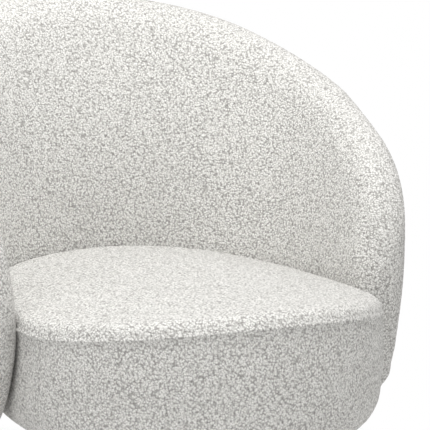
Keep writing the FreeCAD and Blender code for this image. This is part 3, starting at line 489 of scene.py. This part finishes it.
def seat_columns():
    """Columns of points from the middle of the crown over the edge and under the seat."""
    plan, out = outline(CLOTH_STEP)
    out_flat = np.column_stack([out, np.zeros(len(out))])
    inner = plan - out * SEAT_ROLL
    ball = np.column_stack([inner, crown_height(inner[:, 0], inner[:, 1], SEAT_ROLL)])
    up = crown_normal(inner[:, 0], inner[:, 1])
    reach = ball + up * SEAT_ROLL
    middle = np.array([0.0, CROWN_BACK / 2])
    rows = []
    for share in np.linspace(0, 1, TOP_STEPS, endpoint=False)[1:]:
        flat = middle + (reach[:, :2] - middle) * share
        rows.append(np.column_stack([flat, crown_height(flat[:, 0], flat[:, 1])]))
    spread = np.arccos(np.clip((up * out_flat).sum(axis=1), -1, 1))
    for share in np.linspace(0, 1, ROLL_STEPS, endpoint=False):
        part = np.sin((1 - share) * spread) / np.sin(spread)
        rest = np.sin(share * spread) / np.sin(spread)
        rows.append(ball + SEAT_ROLL * (up * part[:, None] + out_flat * rest[:, None]))
    seam = crown_height(plan[:, 0], plan[:, 1], SEAM_DROP)
    for share in np.linspace(0, 1, LIP_STEPS, endpoint=False):
        rows.append(np.column_stack([plan, ball[:, 2] * (1 - share) + seam * share]))
    seam_row = len(rows)
    low = BODY_BOTTOM + SEAT_UNDER
    puff = np.clip((-plan[:, 1] - NOSE_FRONT) / PUFF_RUN, 0, 1)
    for share in np.linspace(0, 1, BAND_STEPS, endpoint=False):
        swell = BAND_PUFF * math.sin(math.pi * share) * puff
        rows.append(np.column_stack([plan + out * swell[:, None], seam * (1 - share) + low * share]))
    for turn in np.linspace(0, math.pi / 2, UNDER_STEPS):
        inset = SEAT_UNDER * (1 - math.cos(turn))
        height = low - SEAT_UNDER * math.sin(turn)
        rows.append(np.column_stack([plan - out * inset, np.full(len(plan), height)]))
    rows.append(rows[-1] - out_flat * TURN_UNDER)
    rows.append(rows[-1] + np.array([0, 0, TURN_UP]))
    rows = np.array(rows)
    rows[:, :, 1] += PLAN_SHIFT
    return rows, seam_row, middle + np.array([0, PLAN_SHIFT])


def make_seat():
    """The top panel above the seam, and the band below it."""
    rows, seam_row, middle = seat_columns()
    count, around = rows.shape[:2]
    points = rows.reshape(-1, 3)
    starts = np.arange(count) * around
    faces = grid_faces(starts, range(around), True)[:, ::-1]
    normals = normals_of(points, faces)
    points = drawn_in(points, normals, points[starts[seam_row]:starts[seam_row] + around])
    top_faces = grid_faces(starts[:seam_row + 1], range(around), True)[:, ::-1]
    top = mesh_piece("seat_top_panel", *only_used(points, top_faces))
    close_middle(top)
    band_faces = grid_faces(starts[seam_row:], range(around), True)[:, ::-1]
    band = mesh_piece("seat_band", *only_used(points, band_faces))
    return top, band


def close_middle(thing):
    """Close the small ring in the middle of the crown."""
    shape = bmesh.new()
    shape.from_mesh(thing.data)
    ring = [edge for edge in shape.edges
            if edge.is_boundary and edge.verts[0].co.xy.length < MIDDLE_REACH]
    made = bmesh.ops.holes_fill(shape, edges=ring, sides=0)
    for face in made["faces"]:
        face.smooth = True
    shape.to_mesh(thing.data)
    shape.free()


def loops(thing):
    """Raise the cloth's loops from the surface."""
    texture = bpy.data.textures.new(thing.name + "_loops", "VORONOI")
    texture.noise_scale = LOOP_SIZE
    texture.noise_intensity = 1.0
    raise_loops = thing.modifiers.new("loops", "DISPLACE")
    raise_loops.texture = texture
    raise_loops.texture_coords = "LOCAL"
    raise_loops.strength = -LOOP_HEIGHT
    raise_loops.mid_level = 0.5


# Materials

def material(name):
    made = bpy.data.materials.new(name)
    made.use_nodes = True
    nodes = made.node_tree.nodes
    return made, nodes, made.node_tree.links, nodes["Principled BSDF"]


def object_noise(nodes, links, scale, detail):
    """Noise that lies still on the piece."""
    place = nodes.new("ShaderNodeTexCoord")
    noise = nodes.new("ShaderNodeTexNoise")
    noise.inputs["Scale"].default_value = scale
    noise.inputs["Detail"].default_value = detail
    links.new(place.outputs["Object"], noise.inputs["Vector"])
    return noise


def ramp(nodes, links, source, stops):
    """Colours between stops, each with its place and colour."""
    made = nodes.new("ShaderNodeValToRGB")
    while len(made.color_ramp.elements) < len(stops):
        made.color_ramp.elements.new(0.5)    # moved to its stop below
    for element, (place, colour) in zip(made.color_ramp.elements, stops):
        element.position = place
        element.color = (*colour, 1)
    links.new(source, made.inputs["Fac"])
    return made


WANDER_SCALE = 190        # how often the loops' places wander, per metre
WANDER = 0.003            # how far they do
WANDER_DETAIL = 2
YARN_PER_LOOP = 2.3       # fine yarn cells across a loop
YARN_SHARE = 0.5          # their height beside the loop's
BUMP_STRENGTH = 0.7
BUMP_DEPTH = 0.002
CLOTH_FINISH = {
    "Roughness": 0.95,
    "Specular IOR Level": 0.15,
    "Sheen Weight": 0.12,
    "Sheen Roughness": 0.6,
}
# Loop colour: the cloth's own off-white in the middle of each loop, with painted shade darkening it
# towards the crevices between loops.
LOOP_TONE_AND_CREVICE_SHADE = [(0.0, (0.93, 0.92, 0.90)), (0.35, (0.84, 0.83, 0.805)), (0.8, (0.40, 0.39, 0.375))]
# Painted shade in the fine hollows between yarn cells, where the bump sinks the surface; it shows as
# darker flecks.
YARN_HOLLOW_SHADE = [(0.15, (1.0, 1.0, 1.0)), (0.5, (0.90, 0.90, 0.89)), (0.85, (0.55, 0.54, 0.53))]


def looped_cloth():
    """Off-white looped cloth: round loops with painted shade in the grey crevices between them, and
    darker flecks of painted shade in the hollows between yarn cells.
    """
    made, nodes, links, shader = material("looped_cloth")
    place = nodes.new("ShaderNodeTexCoord")
    wander = nodes.new("ShaderNodeTexNoise")
    wander.inputs["Scale"].default_value = WANDER_SCALE
    wander.inputs["Detail"].default_value = WANDER_DETAIL
    links.new(place.outputs["Object"], wander.inputs["Vector"])
    shift = nodes.new("ShaderNodeVectorMath")
    shift.operation = "MULTIPLY_ADD"
    shift.inputs[1].default_value = (WANDER, WANDER, WANDER)
    links.new(wander.outputs["Color"], shift.inputs[0])
    links.new(place.outputs["Object"], shift.inputs[2])
    cells = nodes.new("ShaderNodeTexVoronoi")
    cells.inputs["Scale"].default_value = 1 / LOOP_SIZE
    links.new(shift.outputs["Vector"], cells.inputs["Vector"])
    yarn = nodes.new("ShaderNodeTexVoronoi")
    yarn.inputs["Scale"].default_value = YARN_PER_LOOP / LOOP_SIZE
    links.new(shift.outputs["Vector"], yarn.inputs["Vector"])
    # Loop colour with painted shade in the crevices between loops
    light = ramp(nodes, links, cells.outputs["Distance"], LOOP_TONE_AND_CREVICE_SHADE)
    # Painted shade in the hollows between yarn cells
    hollow_shade = ramp(nodes, links, yarn.outputs["Distance"], YARN_HOLLOW_SHADE)
    both = nodes.new("ShaderNodeMix")
    both.data_type = "RGBA"
    both.blend_type = "MULTIPLY"
    both.inputs["Factor"].default_value = 1.0
    links.new(light.outputs["Color"], both.inputs["A"])
    links.new(hollow_shade.outputs["Color"], both.inputs["B"])
    links.new(both.outputs["Result"], shader.inputs["Base Color"])
    height = nodes.new("ShaderNodeMath")
    height.operation = "MULTIPLY_ADD"
    height.inputs[1].default_value = YARN_SHARE
    links.new(yarn.outputs["Distance"], height.inputs[0])
    links.new(cells.outputs["Distance"], height.inputs[2])
    bump = nodes.new("ShaderNodeBump")
    bump.invert = True
    bump.inputs["Strength"].default_value = BUMP_STRENGTH
    bump.inputs["Distance"].default_value = BUMP_DEPTH
    links.new(height.outputs["Value"], bump.inputs["Height"])
    links.new(bump.outputs["Normal"], shader.inputs["Normal"])
    for socket, value in CLOTH_FINISH.items():
        shader.inputs[socket].default_value = value
    return made


PLAIN_DETAIL = 4.0
PLAIN_DARK = 0.35         # noise level that shows the darker shade
PLAIN_LIGHT = 0.65        # and the lighter one


def plain(name, dark, light, scale, roughness, metallic=0.0):
    """A finish whose colour wanders between two shades."""
    made, nodes, links, shader = material(name)
    noise = object_noise(nodes, links, scale, PLAIN_DETAIL)
    tone = ramp(nodes, links, noise.outputs["Fac"], [(PLAIN_DARK, dark), (PLAIN_LIGHT, light)])
    links.new(tone.outputs["Color"], shader.inputs["Base Color"])
    shader.inputs["Roughness"].default_value = roughness
    shader.inputs["Metallic"].default_value = metallic
    return made


GRAIN_SCALE = 260
GRAIN_STRETCH = 0.06      # share of that scale which is left along the grain
GRAIN_DETAIL = 5
GRAIN_DARK = 0.32
GRAIN_LIGHT = 0.68
WOOD_COAT = {"Coat Weight": 0.15, "Coat Roughness": 0.35}


def grained(name, dark, light, roughness):
    """Wood whose grain runs up and down."""
    made, nodes, links, shader = material(name)
    place = nodes.new("ShaderNodeTexCoord")
    stretch = nodes.new("ShaderNodeMapping")
    stretch.inputs["Scale"].default_value = (1.0, 1.0, GRAIN_STRETCH)
    noise = nodes.new("ShaderNodeTexNoise")
    noise.inputs["Scale"].default_value = GRAIN_SCALE
    noise.inputs["Detail"].default_value = GRAIN_DETAIL
    links.new(place.outputs["Object"], stretch.inputs["Vector"])
    links.new(stretch.outputs["Vector"], noise.inputs["Vector"])
    tone = ramp(nodes, links, noise.outputs["Fac"], [(GRAIN_DARK, dark), (GRAIN_LIGHT, light)])
    links.new(tone.outputs["Color"], shader.inputs["Base Color"])
    shader.inputs["Roughness"].default_value = roughness
    for socket, value in WOOD_COAT.items():
        shader.inputs[socket].default_value = value
    return made


def finishes():
    """One material for each slot of the record."""
    return {
        "boucle": looped_cloth(),
        "foam": plain("foam", (0.80, 0.76, 0.62), (0.86, 0.83, 0.70), 700, 1.0),
        "wadding": plain("wadding", (0.84, 0.84, 0.82), (0.92, 0.92, 0.90), 300, 1.0),
        "felt": plain("felt", (0.45, 0.44, 0.42), (0.60, 0.59, 0.57), 900, 1.0),
        "webbing": plain("webbing", (0.11, 0.10, 0.09), (0.20, 0.19, 0.18), 800, 0.9),
        "dust_cloth": plain("dust_cloth", (0.035, 0.035, 0.04), (0.07, 0.07, 0.075), 900, 0.95),
        "liner_board": plain("liner_board", (0.46, 0.35, 0.23), (0.56, 0.44, 0.30), 200, 0.85),
        "frame_wood": grained("frame_wood", (0.60, 0.45, 0.28), (0.74, 0.59, 0.40), 0.7),
        "leg_wood": grained("leg_wood", (0.20, 0.11, 0.055), (0.33, 0.195, 0.10), 0.38),
        "steel": plain("steel", (0.55, 0.56, 0.58), (0.68, 0.69, 0.70), 150, 0.35, metallic=1.0),
        "glide": plain("glide", (0.02, 0.02, 0.02), (0.035, 0.035, 0.035), 300, 0.5),
    }


def dress_frame(looks):
    """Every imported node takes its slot's finish."""
    slots = {part["node"]: part["material_slot"] for part in frame["record"]["subparts"]}
    for name, thing in frame["nodes"].items():
        thing.data.materials.clear()
        thing.data.materials.append(looks[slots[name]])


# Stage: camera, pale floor that fades out, white world and four soft lights

CAMERA_AZIMUTH = math.radians(-26.7)
CAMERA_ELEVATION = math.radians(8.1)
CAMERA_DISTANCE = 3.0
FOCAL_PIXELS = 2300       # focal length, in pixels of the photo
FRAME_PIXELS = 430        # width of the photo
SENSOR = 36.0             # width of the sensor, in the lens's own millimetres
AIM_HEIGHT = 0.45         # the camera aims at this height over the widest line
AIM_RIGHT = 0.041         # and this far beside it
AIM_UP = 0.056            # and above it, across the view
FLOOR_REACH = 3.0
FLOOR_CLEAR = 0.50        # the floor starts to fade this far from the origin
FLOOR_GONE = 0.95         # and ends here
FLOOR_SHADE = (0.9, 0.9, 0.9, 1)
FLOOR_ROUGHNESS = 0.9
WHITE = (1, 1, 1, 1)
WORLD_LIGHT = 0.42        # strength of the white that lights the chair
LIGHT_AIM = Vector((0, 0, 0.4))    # every light faces this point
LIGHTS = [                # name, place, size and power
    ("top_light", (-0.3, -0.5, 2.6), 1.8, 60),
    ("front_light", (0.0, -2.8, 1.0), 1.6, 8),
    ("left_light", (-2.5, -1.5, 0.9), 1.6, 24),
    ("right_light", (2.4, -1.9, 0.9), 1.6, 20),
]


def make_camera():
    """The photo's camera: from the front left and a little above."""
    sin_a, cos_a = math.sin(CAMERA_AZIMUTH), math.cos(CAMERA_AZIMUTH)
    sin_e, cos_e = math.sin(CAMERA_ELEVATION), math.cos(CAMERA_ELEVATION)
    back = Vector((sin_a * cos_e, -cos_a * cos_e, sin_e))
    right = Vector((cos_a, sin_a, 0))
    up = back.cross(right)
    target = Vector((0, PLAN_SHIFT, AIM_HEIGHT)) + right * AIM_RIGHT + up * AIM_UP
    lens = bpy.data.cameras.new("camera")
    lens.sensor_width = SENSOR
    lens.sensor_fit = "HORIZONTAL"
    lens.lens = FOCAL_PIXELS * SENSOR / FRAME_PIXELS
    camera = bpy.data.objects.new("camera", lens)
    camera.location = target + back * CAMERA_DISTANCE
    camera.rotation_euler = back.to_track_quat("Z", "Y").to_euler()
    bpy.context.scene.collection.objects.link(camera)
    bpy.context.scene.camera = camera


def make_floor():
    """A pale sheet that keeps the chair's shadow and fades out around it."""
    mesh = bpy.data.meshes.new("floor")
    reach = FLOOR_REACH
    corners = [(-reach, -reach, 0), (reach, -reach, 0), (reach, reach, 0), (-reach, reach, 0)]
    mesh.from_pydata(corners, [], [(0, 1, 2, 3)])
    floor = bpy.data.objects.new("floor", mesh)
    bpy.context.scene.collection.objects.link(floor)
    made, nodes, links, shader = material("pale_floor")
    shader.inputs["Base Color"].default_value = FLOOR_SHADE
    shader.inputs["Roughness"].default_value = FLOOR_ROUGHNESS
    place = nodes.new("ShaderNodeTexCoord")
    far = nodes.new("ShaderNodeVectorMath")
    far.operation = "LENGTH"
    links.new(place.outputs["Object"], far.inputs[0])
    fade = nodes.new("ShaderNodeMapRange")
    fade.interpolation_type = "SMOOTHSTEP"
    fade.inputs["From Min"].default_value = FLOOR_CLEAR
    fade.inputs["From Max"].default_value = FLOOR_GONE
    links.new(far.outputs["Value"], fade.inputs["Value"])
    clear = nodes.new("ShaderNodeBsdfTransparent")
    mix = nodes.new("ShaderNodeMixShader")
    links.new(fade.outputs["Result"], mix.inputs["Fac"])
    links.new(shader.outputs["BSDF"], mix.inputs[1])
    links.new(clear.outputs["BSDF"], mix.inputs[2])
    links.new(mix.outputs["Shader"], nodes["Material Output"].inputs["Surface"])
    floor.data.materials.append(made)


def make_world():
    """White behind the chair, and a softer white that lights it."""
    world = bpy.data.worlds.new("studio")
    bpy.context.scene.world = world
    world.use_nodes = True
    nodes, links = world.node_tree.nodes, world.node_tree.links
    soft = nodes["Background"]
    soft.inputs["Color"].default_value = WHITE
    soft.inputs["Strength"].default_value = WORLD_LIGHT
    white = nodes.new("ShaderNodeBackground")
    white.inputs["Color"].default_value = WHITE
    white.inputs["Strength"].default_value = 1.0
    rays = nodes.new("ShaderNodeLightPath")
    mix = nodes.new("ShaderNodeMixShader")
    links.new(rays.outputs["Is Camera Ray"], mix.inputs["Fac"])
    links.new(soft.outputs["Background"], mix.inputs[1])
    links.new(white.outputs["Background"], mix.inputs[2])
    links.new(mix.outputs["Shader"], nodes["World Output"].inputs["Surface"])


def soft_light(name, place, size, power):
    """A round lamp that faces the chair."""
    lamp = bpy.data.lights.new(name, "AREA")
    lamp.shape = "DISK"
    lamp.size = size
    lamp.energy = power
    thing = bpy.data.objects.new(name, lamp)
    thing.location = place
    aim = Vector(place) - LIGHT_AIM
    thing.rotation_euler = aim.to_track_quat("Z", "Y").to_euler()
    bpy.context.scene.collection.objects.link(thing)


# Assembly: each cover with the nodes it stands for, and how tight its padding is from 0 to 1

looks = finishes()
dress_frame(looks)
wall_inside, wall_outside = make_wall()
seat_top, seat_band = make_seat()
covers = [
    (wall_inside, ["wall_inside_cover", "back_foam", "arm_foam_left", "arm_foam_right"], 0.9),
    (wall_outside, ["wall_outside_cover", "wall_outside_padding"], 0.9),
    (seat_top, ["seat_top_cover", "seat_topper_foam", "seat_core_foam"], 0.95),
    (seat_band, ["seat_band_cover", "seat_edge_foam"], 0.95),
]
for cover, nodes_shown, fill in covers:
    loops(cover)
    cover.data.materials.append(looks["boucle"])
    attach(cover, "root")
    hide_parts(*nodes_shown)

make_floor()
make_world()
for name, place, size, power in LIGHTS:
    soft_light(name, place, size, power)
make_camera()

bpy.context.scene.view_settings.view_transform = "Standard"
